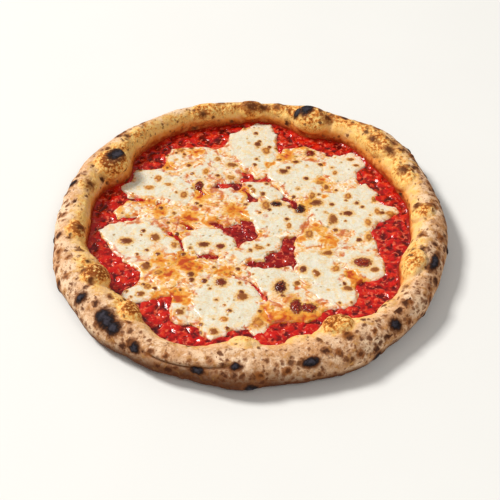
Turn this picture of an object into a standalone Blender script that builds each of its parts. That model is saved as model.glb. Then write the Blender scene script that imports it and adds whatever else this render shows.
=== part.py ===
"""Margherita pizza, whole and uncut: a Neapolitan crust with a puffed rim, its bed of
tomato sauce, and the pools of melted mozzarella on it. Metres, +Z up. The pizza lies
flat on z = 0, and the side that is turned toward a person at the table faces -Y."""

import math

import bmesh
import bpy
import numpy as np
from mathutils import Matrix

# Driving dimensions
RIM_OUTER = 0.1553      # radius of the outer wall where no pillow swells it
RIM_INNER = 0.1310      # radius of the inner wall where it meets the bed
RIM_HEIGHT = 0.0262     # top of the rim above the table
BED = 0.0042            # thickness of the baked dough under the toppings
WIDEST = 0.0125         # height at which the outer wall stands furthest out
TUCK = 0.0115           # how far the outer wall turns in under the rim
SAUCE = 0.0023          # depth of the sauce
POOL = 0.0021           # depth of a large pool of mozzarella at its middle
GAP = 0.0003            # air between neighbouring solids
STEPS = 96              # sections around the crust and around the sauce

# The rim puffs into pillows in the oven. Each one has its angle from +X, half its
# length around the rim in degrees, and what it adds in millimetres outward, inward
# over the toppings, and upward. Minus values are the pinched stretches between them.
PILLOWS = [
    (2, 8, 0.0, 4.5, 0.8),
    (22, 9, -0.5, 1.0, 0.0),
    (39, 14, 6.0, 0.5, 3.0),
    (54, 10, 0.0, -6.0, -0.6),
    (69, 6, 2.2, 4.5, 2.6),
    (85, 12, -1.0, -8.0, -1.6),
    (114, 22, 1.0, -8.5, -0.6),
    (143, 18, 1.2, 0.0, 1.2),
    (147, 7, 1.0, 12.0, 2.4),
    (178, 9, -0.6, 4.0, 0.2),
    (203, 10, 2.8, 12.0, 1.8),
    (224, 10, 4.6, 12.0, 2.4),
    (245, 9, 2.6, -3.5, -0.8),
    (267, 9, 3.8, 13.5, 1.8),
    (284, 6, 1.5, 8.0, 0.6),
    (299, 9, 5.0, 18.0, 2.6),
    (321, 10, 1.6, 1.0, -0.4),
    (343, 10, 0.0, 11.5, 1.6),
]

# The torn pieces of mozzarella, as melted. Each pool is a few rounds that have run
# together, and each round has its centre and radius in millimetres.
POOLS = [
    [(0, 110, 21), (9, 127, 12), (6, 92, 15)],
    [(-56, 91, 15), (-38, 86, 19), (-20, 73, 12)],
    [(-89, 61, 17), (-73, 56, 17), (-58, 48, 14)],
    [(-102, 27, 6), (-97, 27, 5)],
    [(-77, 26, 11), (-58, 23, 8), (-36, 29, 16), (-22, 31, 8)],
    [(-22, 49, 6), (-11, 44, 8)],
    [(0, 57, 5), (12, 51, 9), (20, 45, 6)],
    [(30, 76, 15), (48, 77, 13), (44, 54, 15)],
    [(33, 98, 6), (46, 98, 7), (58, 95, 5)],
    [(74, 73, 13), (76, 83, 12), (88, 90, 10)],
    [(69, 28, 22), (92, 47, 11), (83, 16, 16), (104, 25, 9), (113, 26, 4)],
    [(20, 22, 15), (35, 11, 11), (2, 27, 9), (15, 9, 9)],
    [(-15, -29, 9), (1, -19, 9), (17, -12, 8)],
    [(-36, -4, 14), (-24, -11, 11), (-42, -11, 10)],
    [(-91, -6, 21), (-76, -20, 21), (-111, 3, 8)],
    [(-56, 6, 6)],
    [(-66, -51, 11), (-44, -43, 15), (-30, -39, 8)],
    [(-80, -62, 9), (-90, -66, 5)],
    [(-53, -80, 6), (-53, -89, 6)],
    [(-20, -72, 24), (-6, -83, 15), (-27, -99, 10)],
    [(22, -52, 15), (3, -44, 6)],
    [(49, -33, 14), (60, -52, 19), (68, -68, 11)],
    [(89, -35, 15), (77, -27, 9)],
    [(47, -6, 10), (63, -9, 8), (78, -9, 8), (92, -12, 8)],
    [(23, -82, 12), (40, -81, 12)],
    [(5, -99, 5)],
]
POOL_BLEND = 3.0        # millimetres over which two rounds of one pool flow together
POOL_APART = 0.9        # millimetres kept between two pools
WALL_APART = 2.5        # millimetres kept between a pool and the rim
EDGE_STEP = 5.5         # millimetres between two points on a pool's edge


def new_collection(name):
    made = bpy.data.collections.new(name)
    bpy.context.scene.collection.children.link(made)
    return made


def material(name, colour, roughness):
    made = bpy.data.materials.new(name)
    made.use_nodes = True
    shader = made.node_tree.nodes["Principled BSDF"]
    shader.inputs["Base Color"].default_value = (*colour, 1.0)
    shader.inputs["Roughness"].default_value = roughness
    return made


def swell(angle, column):
    """Sum of the pillows at an angle in degrees: each is its amount times a bell,
    exp(-(distance / half length)^2), with the distance taken the short way round."""
    total = np.zeros_like(angle)
    for pillow in PILLOWS:
        away = (angle - pillow[0] + 180.0) % 360.0 - 180.0
        total += pillow[column] * np.exp(-((away / pillow[1]) ** 2))
    return total / 1000.0


def rim_at(angle):
    """Outer radius, inner radius and height of the rim at an angle in degrees."""
    outer = RIM_OUTER + swell(angle, 2)
    inner = RIM_INNER - swell(angle, 3)
    height = RIM_HEIGHT + swell(angle, 4)
    return outer, inner, height


def quarter(centre, reach, rise, start, stop, count):
    """Points on a quarter of an ellipse, from angle start to stop in degrees."""
    turns = np.radians(np.linspace(start, stop, count))
    across = centre[0] + reach * np.cos(turns)
    up = centre[1] + rise * np.sin(turns)
    return list(zip(across, up))


def turned(name, profile, home):
    """A profile of (radius, height) points from the axis, out and back to the axis,
    turned round Z by a Screw modifier and made into a mesh."""
    data = bpy.data.meshes.new(name)
    points = [(radius, 0.0, height) for radius, height in profile]
    edges = [(i, i + 1) for i in range(len(points) - 1)]
    data.from_pydata(points, edges, [])
    made = bpy.data.objects.new(name, data)
    home.objects.link(made)
    screw = made.modifiers.new("turn", "SCREW")
    screw.angle = math.tau
    screw.steps = STEPS
    screw.render_steps = STEPS
    screw.use_merge_vertices = True
    screw.merge_threshold = 0.00001
    bpy.context.view_layer.update()
    graph = bpy.context.evaluated_depsgraph_get()
    solid = bpy.data.meshes.new_from_object(made.evaluated_get(graph))
    made.modifiers.clear()
    made.data = solid
    bpy.data.meshes.remove(data)
    solid.name = name
    return made


def push_out(obj):
    """Carries each point of a turned shape to the rim as it really runs: inside the
    inner wall a radius scales with that wall, across the rim it stays at the same
    share of the rim's width, and a height over the bed scales with the rim's."""
    count = len(obj.data.vertices)
    points = np.empty(count * 3)
    obj.data.vertices.foreach_get("co", points)
    points = points.reshape(count, 3)
    radius = np.hypot(points[:, 0], points[:, 1])
    turn = np.arctan2(points[:, 1], points[:, 0])
    outer, inner, height = rim_at(np.degrees(turn))
    share = (radius - RIM_INNER) / (RIM_OUTER - RIM_INNER)
    inside = radius * inner / RIM_INNER
    across = inner + share * (outer - inner)
    radius = np.where(share > 0.0, across, inside)
    over = points[:, 2] > BED
    taller = BED + (points[:, 2] - BED) * (height - BED) / (RIM_HEIGHT - BED)
    points[:, 0] = radius * np.cos(turn)
    points[:, 1] = radius * np.sin(turn)
    points[:, 2] = np.where(over & (share > -0.01), taller, points[:, 2])
    obj.data.vertices.foreach_set("co", points.reshape(-1))
    obj.data.update()


def face_out(obj):
    """Turns the faces outward and shades them smooth."""
    work = bmesh.new()
    work.from_mesh(obj.data)
    bmesh.ops.remove_doubles(work, verts=work.verts, dist=0.00001)
    bmesh.ops.recalc_face_normals(work, faces=work.faces)
    for face in work.faces:
        face.smooth = True
    work.to_mesh(obj.data)
    work.free()


def make_crust(home):
    """The bed, the inner wall up to the crest, the outer wall down and in under."""
    crest = (RIM_INNER + RIM_OUTER) / 2.0
    half = (RIM_OUTER - RIM_INNER) / 2.0
    profile = [(0.0, BED), (0.045, BED), (0.090, BED)]
    profile += quarter((crest, BED), half, RIM_HEIGHT - BED, 180.0, 90.0, 8)
    profile += quarter((crest, WIDEST), half, RIM_HEIGHT - WIDEST, 90.0, 0.0, 8)[1:]
    foot = (RIM_OUTER - TUCK, WIDEST)
    profile += quarter(foot, TUCK, WIDEST, 0.0, -90.0, 6)[1:]
    profile += [(0.080, 0.0), (0.0, 0.0)]
    made = turned("crust", profile, home)
    push_out(made)
    face_out(made)
    return made


def make_sauce(home):
    """A thin round bed of sauce that runs out to the rim's inner wall."""
    low = BED + GAP
    top = low + SAUCE
    edge = RIM_INNER - 2.0 * GAP
    profile = [(0.0, top), (0.050, top), (0.095, top), (edge - 0.0022, top)]
    profile += [(edge - 0.0006, top - 0.0005), (edge, top - 0.0014)]
    profile += [(edge - 0.0004, low), (0.070, low), (0.0, low)]
    made = turned("sauce", profile, home)
    points = made.data.vertices
    for point in points:
        turn = math.atan2(point.co.y, point.co.x)
        inner = float(rim_at(np.array([math.degrees(turn)]))[1][0])
        share = math.hypot(point.co.x, point.co.y) / edge
        radius = share * (inner - 2.0 * GAP)
        point.co.x = radius * math.cos(turn)
        point.co.y = radius * math.sin(turn)
    face_out(made)
    return made


def reach_of(pool, x, y):
    """Signed distance in millimetres to the edge of a pool, minus inside. The rounds
    are joined by a smooth minimum: -blend * log(sum(exp(-distance / blend)))."""
    total = np.zeros_like(x)
    for cx, cy, radius in pool:
        distance = np.hypot(x - cx, y - cy) - radius
        total += np.exp(-distance / POOL_BLEND)
    return -POOL_BLEND * np.log(total)


def outline(number, middle):
    """Angles and radii in millimetres of points spaced evenly along a pool's edge.
    Seen from its middle, a pool ends at the first place where its own rounds end, or
    the next pool is nearer by POOL_APART, or the rim is nearer than WALL_APART."""
    turns = np.linspace(0.0, math.tau, 360, endpoint=False)
    steps = np.arange(0.5, 60.0, 0.1)
    x = middle[0] + np.outer(np.cos(turns), steps)
    y = middle[1] + np.outer(np.sin(turns), steps)
    own = reach_of(POOLS[number], x, y)
    field = own.copy()
    for other, pool in enumerate(POOLS):
        if other != number:
            nearer = (own - reach_of(pool, x, y) + POOL_APART) / 2.0
            field = np.maximum(field, nearer)
    inner = 1000.0 * rim_at(np.degrees(np.arctan2(y, x)))[1]
    field = np.maximum(field, np.hypot(x, y) - inner + WALL_APART)
    radius = steps[np.argmax(field > 0.0, axis=1)]
    for _ in range(12):
        eased = (np.roll(radius, 1) + 2.0 * radius + np.roll(radius, -1)) / 4.0
        radius = np.minimum(radius, eased)
    run_x = radius * np.cos(turns)
    run_y = radius * np.sin(turns)
    legs = np.hypot(np.roll(run_x, -1) - run_x, np.roll(run_y, -1) - run_y)
    along = np.concatenate([[0.0], np.cumsum(legs)])
    count = max(14, int(along[-1] / EDGE_STEP))
    places = np.linspace(0.0, along[-1], count, endpoint=False)
    picked = np.interp(places, along, np.append(turns, math.tau))
    return picked, np.interp(picked, np.append(turns, math.tau), np.append(radius, radius[0]))


def make_pool(number, home):
    """A low dome on the sauce: rings of the pool's outline drawn in and up, closed
    by a point above and a point below."""
    weight = sum(r * r for _, _, r in POOLS[number])
    middle = (
        sum(x * r * r for x, _, r in POOLS[number]) / weight,
        sum(y * r * r for _, y, r in POOLS[number]) / weight,
    )
    turns, radius = outline(number, middle)
    count = len(turns)
    depth = 1000.0 * POOL * min(1.0, 0.62 + radius.mean() / 45.0)
    low = 1000.0 * (BED + SAUCE + 2.0 * GAP)
    # How far each ring lies inside the outline, and its share of the depth.
    rings = [(0.6, 0.0), (0.0, 0.38), (1.2, 0.80)]
    points = []
    for inset, rise in rings:
        drawn = np.maximum(radius - inset, 0.5 * radius)
        x = middle[0] + drawn * np.cos(turns)
        y = middle[1] + drawn * np.sin(turns)
        points += [(px, py, low + rise * depth) for px, py in zip(x, y)]
    x = middle[0] + 0.55 * radius * np.cos(turns)
    y = middle[1] + 0.55 * radius * np.sin(turns)
    points += [(px, py, low + depth) for px, py in zip(x, y)]
    points += [(middle[0], middle[1], low), (middle[0], middle[1], low + 1.03 * depth)]
    faces = []
    for ring in range(3):
        for spoke in range(count):
            following = (spoke + 1) % count
            a = ring * count + spoke
            b = ring * count + following
            faces.append((a, b, b + count, a + count))
    for spoke in range(count):
        following = (spoke + 1) % count
        faces.append((4 * count, following, spoke))
        faces.append((4 * count + 1, 3 * count + spoke, 3 * count + following))
    name = f"mozzarella_{number + 1:02d}"
    data = bpy.data.meshes.new(name)
    data.from_pydata((np.array(points) / 1000.0).tolist(), [], faces)
    made = bpy.data.objects.new(name, data)
    home.objects.link(made)
    face_out(made)
    return made


for left in list(bpy.data.objects):
    bpy.data.objects.remove(left)

pizza = new_collection("margherita_pizza")
baked_dough = material("baked dough", (0.72, 0.50, 0.28), 0.8)
tomato_sauce = material("tomato sauce", (0.46, 0.02, 0.01), 0.3)
melted_mozzarella = material("melted mozzarella", (0.86, 0.80, 0.62), 0.4)

crust = make_crust(pizza)
crust.data.materials.append(baked_dough)

sauce = make_sauce(pizza)
sauce.data.materials.append(tomato_sauce)

for number in range(len(POOLS)):
    pool = make_pool(number, pizza)
    pool.data.materials.append(melted_mozzarella)

# The pillows push the rim out by unlike amounts, so the whole pizza is moved level
# until the middle of its length and width stands over the origin.
corners = [point.co for point in crust.data.vertices]
middle_x = (min(c.x for c in corners) + max(c.x for c in corners)) / 2.0
middle_y = (min(c.y for c in corners) + max(c.y for c in corners)) / 2.0
for piece in pizza.objects:
    piece.data.transform(Matrix.Translation((-middle_x, -middle_y, 0.0)))
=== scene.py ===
# %% [markdown]
# # A margherita pizza
# A whole pizza on a pale table: a puffed crust with leopard spots, a bed of crushed
# tomato, and pools of melted mozzarella with browned blisters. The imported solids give
# every piece its place. Each cell below adds one piece or one finish.

# %% Load the solids
import math

import bpy
import numpy as np
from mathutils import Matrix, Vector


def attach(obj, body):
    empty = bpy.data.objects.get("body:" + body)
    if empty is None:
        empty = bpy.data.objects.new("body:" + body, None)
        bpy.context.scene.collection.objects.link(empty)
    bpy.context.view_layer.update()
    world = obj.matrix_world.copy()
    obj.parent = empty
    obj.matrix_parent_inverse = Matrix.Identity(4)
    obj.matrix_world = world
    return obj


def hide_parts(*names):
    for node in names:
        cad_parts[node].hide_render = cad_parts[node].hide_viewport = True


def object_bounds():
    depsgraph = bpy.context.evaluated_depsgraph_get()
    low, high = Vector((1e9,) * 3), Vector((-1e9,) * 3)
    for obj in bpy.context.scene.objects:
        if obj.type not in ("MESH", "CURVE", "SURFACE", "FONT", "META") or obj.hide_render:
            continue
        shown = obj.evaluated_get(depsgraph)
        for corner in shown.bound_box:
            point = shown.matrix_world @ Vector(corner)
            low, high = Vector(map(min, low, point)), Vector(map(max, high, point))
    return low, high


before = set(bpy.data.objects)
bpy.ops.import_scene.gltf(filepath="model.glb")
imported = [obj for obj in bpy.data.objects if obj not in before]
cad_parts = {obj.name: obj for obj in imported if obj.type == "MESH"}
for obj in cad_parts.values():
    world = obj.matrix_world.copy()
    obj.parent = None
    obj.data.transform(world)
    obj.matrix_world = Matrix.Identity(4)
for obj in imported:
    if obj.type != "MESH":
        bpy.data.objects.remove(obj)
cad_low, cad_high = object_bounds()
print("solids:", len(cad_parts), "box", tuple(cad_low), tuple(cad_high))

# %% [markdown]
# ## Noise
# Baked dough and crushed tomato are uneven at every size. All of it comes from two
# fixed patterns worked out from position alone, so each run gives the same pizza:
# a smooth noise for swells and stains, and scattered seeds for lumps and bubbles.

# %% Smooth noise
MM = 0.001


def scatter(x, y, z, salt):
    """A fixed number from 0 to 1 for each whole-number place: the coordinates are
    multiplied by large primes, added, and the bits of the sum are stirred."""
    mixed = (x * 374761393 + y * 668265263 + z * 1442695041 + salt * 97531) & 0xFFFFFFFF
    mixed = ((mixed ^ (mixed >> 13)) * 1103515245) & 0xFFFFFFFF
    mixed = ((mixed ^ (mixed >> 16)) * 668265263) & 0xFFFFFFFF
    return ((mixed ^ (mixed >> 15)) & 0xFFFFFF) / float(0xFFFFFF)


def swirl(points, size, salt):
    """Noise from -1 to 1: the random numbers at the corners of a lattice of that size,
    blended by the smooth step 3t^2 - 2t^3 along each axis."""
    spot = points / size
    cell = np.floor(spot).astype(np.int64)
    part = spot - cell
    part = part * part * (3.0 - 2.0 * part)
    total = 0.0
    for corner in range(8):
        step = np.array([corner & 1, (corner >> 1) & 1, corner >> 2])
        weight = np.prod(np.where(step, part, 1.0 - part), axis=-1)
        place = cell + step
        total = total + weight * scatter(place[..., 0], place[..., 1], place[..., 2], salt)
    return 2.0 * total - 1.0


def drift(points, size, salt, reach):
    """A shift in x, y and z for each point: three such noises, up to reach millimetres."""
    return reach * np.stack([swirl(points, size, salt + k) for k in range(3)], -1)


def flat_places(x, y):
    """The points x, y on the level of the table, for noises that don't change upwards."""
    return np.stack([x, y, np.zeros_like(x)], -1)


# %% Scattered seeds
def seeds(points, size, salt):
    """For each point, the distance to the nearest seed in units of size, and that
    seed's own random number. Every cell of a cubic lattice holds one seed."""
    spot = points / size
    cell = np.floor(spot).astype(np.int64)
    best = np.full(points.shape[:-1], 9.0)
    own = np.zeros(points.shape[:-1])
    for index in range(27):
        step = np.array([index % 3 - 1, index // 3 % 3 - 1, index // 9 - 1])
        place = cell + step
        x, y, z = place[..., 0], place[..., 1], place[..., 2]
        jitter = np.stack([scatter(x, y, z, salt + k) for k in (1, 2, 3)], -1)
        away = np.linalg.norm(spot - place - jitter, axis=-1)
        closer = away < best
        best = np.where(closer, away, best)
        own = np.where(closer, scatter(x, y, z, salt + 4), own)
    return best, own


# %% Smooth step and round top
def ease(value, low, high):
    """0 below low, 1 above high, and a smooth step between."""
    part = np.clip((value - low) / (high - low), 0.0, 1.0)
    return part * part * (3.0 - 2.0 * part)


def round_top(away):
    """1 in the middle and 0 from 1 outwards: one less the square of the distance."""
    return np.maximum(1.0 - away**2, 0.0)


# %% [markdown]
# ## Skins
# Every piece here is a closed skin: rows of points that start at a point on top, widen,
# turn under, and end at a point below. One helper makes the mesh from such a grid, and
# another paints a number on each of its points for the finish to read.

# %% New object
def put_in_scene(name, data):
    """A new object with that mesh, light or camera."""
    made = bpy.data.objects.new(name, data)
    bpy.context.scene.collection.objects.link(made)
    return made


# %% Closed skin from a grid
def closed_skin(name, grid):
    """grid is rows x columns x 3 in millimetres, its first and last rows gathered in a
    single point each. Columns run anticlockwise seen from above and join up."""
    rows, columns = grid.shape[:2]
    middle = grid[1:-1].reshape(-1, 3)
    points = np.concatenate([middle, grid[0, :1], grid[-1, :1]]) * MM
    column = np.arange(columns)
    after = (column + 1) % columns
    start = np.arange(rows - 3)[:, None] * columns
    quads = np.stack(
        [start + column, start + columns + column, start + columns + after, start + after],
        -1,
    ).reshape(-1, 4)
    top, bottom = len(middle), len(middle) + 1
    last = (rows - 3) * columns
    caps_up = np.stack([np.full(columns, top), column, after], -1)
    caps_down = np.stack([np.full(columns, bottom), last + after, last + column], -1)
    loops = np.concatenate([quads.ravel(), caps_up.ravel(), caps_down.ravel()])
    sizes = np.concatenate([np.full(len(quads), 4), np.full(2 * columns, 3)])
    mesh = bpy.data.meshes.new(name)
    mesh.vertices.add(len(points))
    mesh.vertices.foreach_set("co", points.ravel())
    mesh.loops.add(len(loops))
    mesh.loops.foreach_set("vertex_index", loops.astype(np.int32))
    mesh.polygons.add(len(sizes))
    starts = np.concatenate([[0], np.cumsum(sizes)[:-1]])
    mesh.polygons.foreach_set("loop_start", starts.astype(np.int32))
    mesh.polygons.foreach_set("loop_total", sizes.astype(np.int32))
    mesh.polygons.foreach_set("use_smooth", np.ones(len(sizes), bool))
    mesh.update(calc_edges=True)
    mesh.validate()
    print(name, len(points), "points", 2 * len(quads) + 2 * columns, "triangles")
    return put_in_scene(name, mesh)


# %% Numbers and normals of a skin
def paint(piece, name, values):
    """Stores one number per point of a skin from a rows x columns array."""
    flat = np.concatenate([values[1:-1].ravel(), values[0, :1], values[-1, :1]])
    layer = piece.data.attributes.new(name, "FLOAT", "POINT")
    layer.data.foreach_set("value", flat.astype(np.float32))


def outward(grid):
    """Unit normals of a grid whose columns join up: the step down the rows, crossed
    with the step round the columns."""
    down = np.gradient(grid, axis=0)
    around = (np.roll(grid, -1, axis=1) - np.roll(grid, 1, axis=1)) / 2.0
    normal = np.cross(down, around)
    length = np.linalg.norm(normal, axis=-1, keepdims=True)
    return normal / np.maximum(length, 1e-9)


# %% [markdown]
# ## Finishes
# Colours are picked as they look on a screen and turned into the linear values that
# the shader wants. Short helpers keep each finish readable: one adds a node, and the
# others mix colours, do sums and stretch a range.

# %% Screen colours
def look(red, green, blue):
    """A screen colour of 0 to 255 as linear light, by the sRGB curve."""
    share = np.array([red, green, blue]) / 255.0
    low = share / 12.92
    high = ((share + 0.055) / 1.055) ** 2.4
    return (*np.where(share <= 0.04045, low, high).tolist(), 1.0)


# %% A finish under construction
BEND_SIZE = 4.0  # millimetres across the swells that bend the spots


class Finish:
    """A material under construction: each call adds nodes and returns their output."""

    def __init__(self, name):
        self.material = bpy.data.materials.new(name)
        self.material.use_nodes = True
        self.tree = self.material.node_tree
        self.shader = self.tree.nodes["Principled BSDF"]
        self.place = self.node("TexCoord", {})["Object"]

    def plug(self, socket, value):
        if isinstance(value, bpy.types.NodeSocket):
            self.tree.links.new(value, socket)
        else:
            socket.default_value = value

    def node(self, kind, inputs, **choices):
        """Adds a node of that kind, makes its choices, fills its inputs with values or
        with the outputs of other nodes, and returns its own outputs."""
        made = self.tree.nodes.new("ShaderNode" + kind)
        for name, choice in choices.items():
            setattr(made, name, choice)
        for name, value in inputs.items():
            self.plug(made.inputs[name], value)
        return made.outputs

    def painted(self, name):
        return self.node("Attribute", {}, attribute_name=name)["Fac"]

    def mix(self, share, first, second):
        """One colour laid over another, by a share from 0 to 1."""
        return self.node("Mix", {0: share, 6: first, 7: second}, data_type="RGBA")[2]

    def sum(self, operation, first, second=0.0, third=0.0):
        """Any sum of the Math node, such as ADD or MAXIMUM."""
        return self.node("Math", {0: first, 1: second, 2: third}, operation=operation)[0]

    def times(self, first, second):
        return self.sum("MULTIPLY", first, second)

    def stretch(self, value, low, high, start=0.0, end=1.0):
        """A smooth step from start, where the value is low, to end, where it is high."""
        inputs = {"Value": value, "From Min": low, "From Max": high,
                  "To Min": start, "To Max": end}
        return self.node("MapRange", inputs, interpolation_type="SMOOTHSTEP")["Result"]

    def noise(self, size, detail=3.0, rough=0.55, warp=0.0):
        """Noise whose swells are about size millimetres across, from 0 to 1."""
        inputs = {"Vector": self.place, "Scale": 1000.0 / size, "Detail": detail,
                  "Roughness": rough, "Distortion": warp}
        return self.node("TexNoise", inputs)["Fac"]

    def spots(self, size, salt, bend):
        """Cells about size millimetres apart: distance to the nearest seed, and its
        own random colour. A noise shifts the place by up to bend millimetres, so that
        what is drawn round a seed isn't a true circle."""
        noise = {"Vector": self.place, "Scale": 1000.0 / BEND_SIZE}
        sway = self.node("TexNoise", noise)["Color"]
        inputs = {0: sway, 1: (bend * MM,) * 3, 2: (salt, salt * 0.7, salt * 0.3)}
        bent = self.node("VectorMath", inputs, operation="MULTIPLY_ADD")[0]
        shifted = self.node("VectorMath", {0: self.place, 1: bent}, operation="ADD")[0]
        cells = self.node("TexVoronoi", {"Vector": shifted, "Scale": 1000.0 / size})
        return cells["Distance"], cells["Color"]

    def veins(self, size, detail, rough, warp):
        """How far a noise is from its middle, so near 0 along thin winding lines."""
        off_middle = self.sum("SUBTRACT", self.noise(size, detail, rough, warp), 0.5)
        return self.sum("ABSOLUTE", off_middle)

    def frayed(self, field, noise, gain, drop=None):
        """The field plus gain times a noise, less a drop of half the gain unless one is
        given: it frays the edge of what the field draws."""
        drop = gain / 2.0 if drop is None else drop
        return self.sum("ADD", field, self.sum("MULTIPLY_ADD", noise, gain, -drop))

    def marks(self, size, salt, bend, crowding, least, spread, fray, fade):
        """Round marks about the seeds of a lattice: 1 in the middle and 0 outside. A
        seed shows where its own number is under the crowding. Its mark reaches out by
        least, and by up to spread more, in lattice steps. fray is a noise and its gain,
        and fade the two depths inside the edge between which the mark comes in."""
        away, own_colour = self.spots(size, salt, bend)
        own = self.node("SeparateColor", {0: own_colour})
        shown = self.sum("LESS_THAN", own[0], crowding)
        reach = self.sum("MULTIPLY_ADD", own[1], spread, least)
        depth = self.sum("SUBTRACT", reach, self.frayed(away, *fray))
        return self.times(self.stretch(depth, *fade), shown)

    def layers(self, tone, *rows):
        """Lays colours over a tone in order. A row is a mask and a colour. Between them
        may stand the mask's values where the colour begins and is full, and its share
        there, to stretch the mask by."""
        for mask, *span, colour in rows:
            if span:
                begins, full, share = span
                mask = self.stretch(mask, begins, full, 0.0, share)
            tone = self.mix(mask, tone, look(*colour))
        return tone

    def relief(self, height, depth, below=None):
        """A bump whose height input spans depth millimetres."""
        inputs = {"Strength": 1.0, "Distance": depth * MM, "Height": height}
        if below is not None:
            inputs["Normal"] = below
        return self.node("Bump", inputs)["Normal"]

    def done(self, colour, roughness, normal):
        self.plug(self.shader.inputs["Base Color"], colour)
        self.plug(self.shader.inputs["Roughness"], roughness)
        self.plug(self.shader.inputs["Normal"], normal)
        print(self.material.name, "has", len(self.tree.nodes), "nodes")
        return self.material


# %% Hand a piece its finish
def finish_piece(piece, slot, material, *nodes):
    """Gives a piece its finish, its slot and its body, and hides the solids it replaces.
    The slot argument is not used.
    """
    piece.data.materials.clear()
    piece.data.materials.append(material)
    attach(piece, "root")
    if nodes:
        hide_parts(*nodes)
    return piece


# %% [markdown]
# ## The rim as it was baked
# The crust's solid was turned round an axis and then swelled into pillows, so three
# curves describe it: the outer radius, the foot of the inner wall and the height, at
# each of its sections. They are measured from the solid and made smooth by a sum of
# waves, which passes through every measured value.

# %% Measure the rim from its solid
def points_of(node):
    """The points of a solid in millimetres, rows x 3."""
    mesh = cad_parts[node].data
    flat = np.empty(3 * len(mesh.vertices))
    mesh.vertices.foreach_get("co", flat)
    return flat.reshape(-1, 3) / MM


SECTIONS = 96
WIDEST = 12.5        # height at which the outer wall stands furthest out
TUCK = 11.5          # how far the outer wall turns in under the rim
INSIDE_WALL = 143.5  # between the foot of the inner wall and the outer wall
SET_IN = 0.9         # the bare rim stands this far inside the solid, to leave room for swells

dough = points_of("crust")
inside = dough[(np.hypot(dough[:, 0], dough[:, 1]) < INSIDE_WALL) & (dough[:, 2] > 1.0)]
levels, how_many = np.unique(np.round(inside[:, 2], 2), return_counts=True)
bed = levels[np.argmax(how_many)]       # the flat bed is the level with most points
on_bed = inside[np.abs(inside[:, 2] - bed) < 0.01, :2]
bearing = np.arctan2(*(on_bed - on_bed.mean(axis=0))[:, ::-1].T)
on_bed, bearing = on_bed[np.argsort(bearing)], np.sort(bearing)
ring = on_bed[np.diff(bearing, prepend=bearing[-1] - math.tau) > 0.01]
# The axis is where the lines between facing points of that ring cross.
chord = np.roll(ring, -SECTIONS // 2, axis=0) - ring
square = np.stack([chord[:, 1], -chord[:, 0]], -1)
axis_x, axis_y = np.linalg.lstsq(square, (square * ring).sum(axis=-1), rcond=None)[0]


def by_section(points, values):
    """The largest value among the points of each section, counted anticlockwise."""
    turn = np.arctan2(points[:, 1] - axis_y, points[:, 0] - axis_x)
    largest = np.zeros(SECTIONS)
    section = np.round(turn / math.tau * SECTIONS).astype(int) % SECTIONS
    np.maximum.at(largest, section, values)
    return largest


def from_axis(points):
    """Level distance of points from the axis."""
    return np.hypot(points[:, 0] - axis_x, points[:, 1] - axis_y)


outer_at = by_section(dough, from_axis(dough))
height_at = by_section(dough, dough[:, 2])
inner_at = by_section(on_bed, from_axis(on_bed))
print("axis", axis_x, axis_y, "bed", bed, "outer", outer_at.min(), outer_at.max())
print("inner", inner_at.min(), inner_at.max(), "height", height_at.min(), height_at.max())


# %% Smooth curves and the bare rim
def along(values, turns):
    """A closed curve through equally spaced values: the sum of its waves."""
    waves = np.fft.rfft(values) / len(values)
    total = np.full(np.shape(turns), waves[0].real)
    for number in range(1, len(waves)):
        weight = 1.0 if 2 * number == len(values) else 2.0
        wave = waves[number] * np.exp(1j * number * turns)
        total = total + weight * wave.real
    return total


def rim_point(turns, over):
    """Where the bare rim is, for an angle round the pizza and an angle over the rim,
    both in radians: 0 is the foot of the inner wall, a quarter turn the crest, half a
    turn the outer wall, three quarters the table. Each quarter is part of an ellipse."""
    outer = along(outer_at, turns) - SET_IN
    inner = along(inner_at, turns) + 0.4
    height = along(height_at, turns) - SET_IN
    crest, half = (outer + inner) / 2.0, (outer - inner) / 2.0
    base = np.where(over < math.pi / 2.0, bed, WIDEST)
    across = crest - half * np.cos(over)
    # The inner wall leans over the toppings a little before it meets them.
    across = across - np.where(over < math.pi / 2.0, 1.5 * np.sin(2.0 * over) ** 2, 0.0)
    up = base + (height - base) * np.sin(over)
    under = np.maximum(over - math.pi, 0.0)
    across = np.where(over > math.pi, outer - TUCK + TUCK * np.cos(under), across)
    up = np.where(over > math.pi, WIDEST - WIDEST * np.sin(under), up)
    x = axis_x + across * np.cos(turns)
    y = axis_y + across * np.sin(turns)
    return np.stack([x, y, up], -1)
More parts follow.
